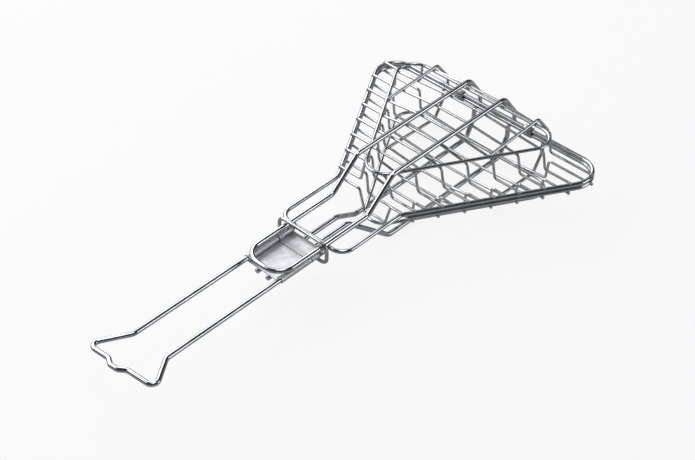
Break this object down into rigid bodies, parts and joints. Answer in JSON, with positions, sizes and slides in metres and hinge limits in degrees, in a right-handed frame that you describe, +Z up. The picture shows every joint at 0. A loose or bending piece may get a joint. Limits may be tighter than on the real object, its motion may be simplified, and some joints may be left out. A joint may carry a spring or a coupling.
{
  "type": "rice ball grill",
  "caption": "Hinged wire cage of two triangular trays on a long looped wire handle, held shut by a sliding ring, for toasting a rice ball over a flame.",
  "frame": {"origin": "middle of the closed grill's length and width, at the height of the surface it stands on", "axes": "+X from the handle's end towards the baskets' front, +Y across to the left as seen from the handle, +Z up"},
  "size_m": [0.3065, 0.1666, 0.0472],
  "materials": {
    "thick_wire": "bright polished wire, 2.6 to 3 mm",
    "thin_wire": "bright polished wire, 1.6 to 2 mm",
    "ring_wire": "bright polished wire, rubbed where it slides",
    "plate": "satin sheet",
    "clip": "satin sheet"
  },
  "bodies": {
    "lower_tray": {"handle": "thick_wire", "base_plate": "plate", "lower_rim": "thick_wire", "lower_inner_ring": "thin_wire", "lower_leg_left": "thick_wire", "lower_leg_right": "thick_wire", "lower_short_left": "thin_wire", "lower_short_right": "thin_wire", "lower_bar_1": "thin_wire", "lower_bar_2": "thin_wire", "lower_bar_3": "thin_wire", "lower_bar_4": "thin_wire", "lower_bar_5": "thin_wire", "lower_bar_6": "thin_wire", "lower_bar_7": "thin_wire", "lower_bar_8": "thin_wire"},
    "lock_ring": {"sliding_ring": "ring_wire"},
    "upper_tray": {"upper_rim": "thick_wire", "upper_inner_ring": "thin_wire", "upper_hairpin": "thick_wire", "upper_short_left": "thin_wire", "upper_short_right": "thin_wire", "upper_bar_1": "thin_wire", "upper_bar_2": "thin_wire", "upper_bar_3": "thin_wire", "upper_bar_4": "thin_wire", "upper_bar_5": "thin_wire", "upper_bar_6": "thin_wire", "upper_bar_7": "thin_wire", "upper_bar_8": "thin_wire", "hinge_clip_left": "clip", "hinge_clip_right": "clip"}
  },
  "joints": [
    {"name": "tray_hinge", "type": "hinge", "parent": "lower_tray", "child": "upper_tray", "pos_m": [0.14924, 0, 0.0221], "axis": [0, 1, 0], "range_deg": [0, 110]},
    {"name": "lock_slide", "type": "slide", "parent": "lower_tray", "child": "lock_ring", "axis": [-1, 0, 0], "range_m": [0, 0.111]}
  ]
}
